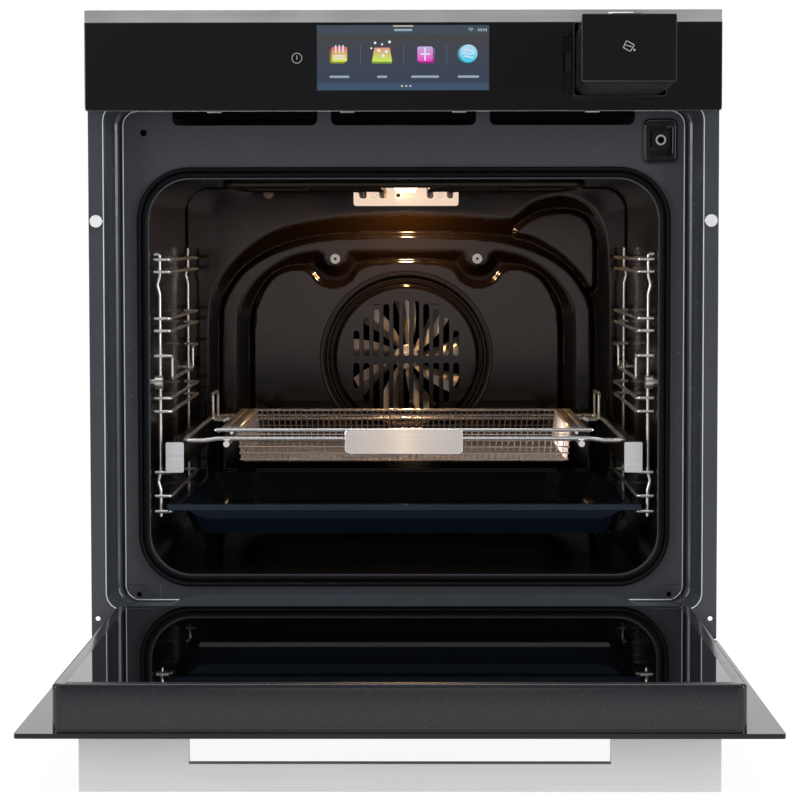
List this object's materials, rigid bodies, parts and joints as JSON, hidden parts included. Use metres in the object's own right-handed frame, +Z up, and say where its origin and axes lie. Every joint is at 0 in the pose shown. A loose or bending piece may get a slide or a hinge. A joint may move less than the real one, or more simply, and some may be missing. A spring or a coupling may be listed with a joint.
{
  "type": "wall oven",
  "caption": "Built-in steam oven with drop-down glass door, touch fascia, pull-out water tank, telescopic runners, wire shelf, mesh basket and tray.",
  "frame": {"origin": "centre of the underside of the base plate", "axes": "+X to the viewer's right, -Y out of the oven's front, +Z up"},
  "size_m": [0.595, 1.0385, 0.6453],
  "materials": {
    "zinc_sheet": "galvanised sheet steel",
    "frame_enamel": "blue-grey enamel with fine light flecks",
    "cavity_enamel": "glossy dark brown enamel",
    "tub_enamel": "speckled dark grey enamel",
    "tray_enamel": "glossy dark blue enamel",
    "white_plastic": "white plastic",
    "black_rubber": "silicone seal",
    "black_plastic": "matt black plastic",
    "grey_plastic": "grey plastic",
    "bright_steel": "bright steel",
    "chrome_wire": "chromed wire",
    "steel_screw": "steel",
    "heater_tube": "dark alloy heater tube",
    "wool": "mineral wool",
    "black_glass": "black glass, seen from the front only",
    "clear_glass": "clear glass",
    "dark_glass": "tinted door glass",
    "lamp_glass": "clear lamp glass",
    "lamp_bulb": "lamp bulb",
    "trim_steel": "brushed stainless steel",
    "handle_steel": "light brushed metal",
    "display_plastic": "display",
    "board_green": "circuit board",
    "tank_plastic": "smoked black plastic",
    "basket_steel": "stainless steel mesh",
    "fan_alloy": "pressed aluminium"
  },
  "bodies": {
    "oven": {"base_plate": "zinc_sheet", "side_panel_left": "zinc_sheet", "side_panel_right": "zinc_sheet", "top_cover": "zinc_sheet", "rear_panel": "zinc_sheet", "front_frame": "frame_enamel", "frame_plugs": "white_plastic", "door_gasket": "black_rubber", "drain_socket": "black_plastic", "drain_nozzle": "steel_screw", "cavity_liner": "cavity_enamel", "insulation_blanket": "wool", "rear_fan_panel": "cavity_enamel", "fan_panel_screws": "steel_screw", "ring_heater": "heater_tube", "fan_motor": "zinc_sheet", "grill_element": "heater_tube", "grill_bracket": "bright_steel", "bottom_heater": "heater_tube", "lamp_housing": "bright_steel", "lamp_glass": "lamp_glass", "lamp_bulb": "lamp_bulb", "temperature_probe": "bright_steel", "side_rack_left": "chrome_wire", "side_rack_right": "chrome_wire", "rack_nuts": "steel_screw", "runner_rails": "bright_steel", "blower_case": "zinc_sheet", "air_duct": "zinc_sheet", "steam_boiler": "grey_plastic", "water_pump": "black_plastic", "control_board": "board_green", "fascia_glass": "black_glass", "fascia_trim": "trim_steel", "fascia_carrier": "grey_plastic", "display_module": "display_plastic", "tank_bay": "black_plastic", "hinge_receivers": "bright_steel"},
    "door": {"door_glass_outer": "black_glass", "door_tub": "tub_enamel", "door_glass_inner": "dark_glass", "door_top_trim": "black_plastic", "door_glass_middle": "clear_glass", "door_handle": "handle_steel", "handle_screws": "steel_screw", "door_hinges": "bright_steel"},
    "convection_fan": {"convection_fan": "fan_alloy"},
    "blower_rotor": {"blower_rotor": "black_plastic"},
    "shelf": {"runner_slide_left": "bright_steel", "runner_slide_right": "bright_steel", "wire_shelf": "chrome_wire"},
    "runner_middle_left": {"runner_middle_left": "bright_steel"},
    "runner_middle_right": {"runner_middle_right": "bright_steel"},
    "basket": {"airfry_basket": "basket_steel", "basket_plate": "bright_steel"},
    "tray": {"baking_tray": "tray_enamel"},
    "tank": {"water_tank": "tank_plastic", "tank_lid": "white_plastic", "tank_cover": "black_glass"},
    "tank_latch": {"tank_latch": "black_plastic"}
  },
  "joints": [
    {"name": "door_hinge", "type": "hinge", "parent": "oven", "child": "door", "pos_m": [0, -0.2785, 0.01], "axis": [-1, 0, 0], "range_deg": [0, 90]},
    {"name": "fan_spin", "type": "hinge", "parent": "oven", "child": "convection_fan", "pos_m": [0, 0.1815, 0.251], "axis": [0, 1, 0], "continuous": true},
    {"name": "blower_spin", "type": "hinge", "parent": "oven", "child": "blower_rotor", "pos_m": [-0.02, 0.0565, 0.525], "axis": [0, 0, 1], "continuous": true},
    {"name": "shelf_slide", "type": "slide", "parent": "oven", "child": "shelf", "axis": [0, 1, 0], "range_m": [-0.34, 0]},
    {"name": "runner_left_slide", "type": "slide", "parent": "oven", "child": "runner_middle_left", "axis": [0, 1, 0], "range_m": [-0.17, 0]},
    {"name": "runner_right_slide", "type": "slide", "parent": "oven", "child": "runner_middle_right", "axis": [0, 1, 0], "range_m": [-0.17, 0]},
    {"name": "basket_lift", "type": "slide", "parent": "shelf", "child": "basket", "axis": [0, 0, 1], "range_m": [0, 0.05]},
    {"name": "tray_slide", "type": "slide", "parent": "oven", "child": "tray", "axis": [0, 1, 0], "range_m": [-0.32, 0]},
    {"name": "tank_slide", "type": "slide", "parent": "oven", "child": "tank", "axis": [0, 1, 0], "range_m": [-0.09, 0.11]},
    {"name": "latch_press", "type": "slide", "parent": "oven", "child": "tank_latch", "axis": [0, 1, 0], "range_m": [0, 0.003], "stiffness_N_per_m": 300}
  ],
  "couplings": [
    {"joint": "runner_left_slide", "follows": "shelf_slide", "ratio": 0.5},
    {"joint": "runner_right_slide", "follows": "shelf_slide", "ratio": 0.5}
  ]
}
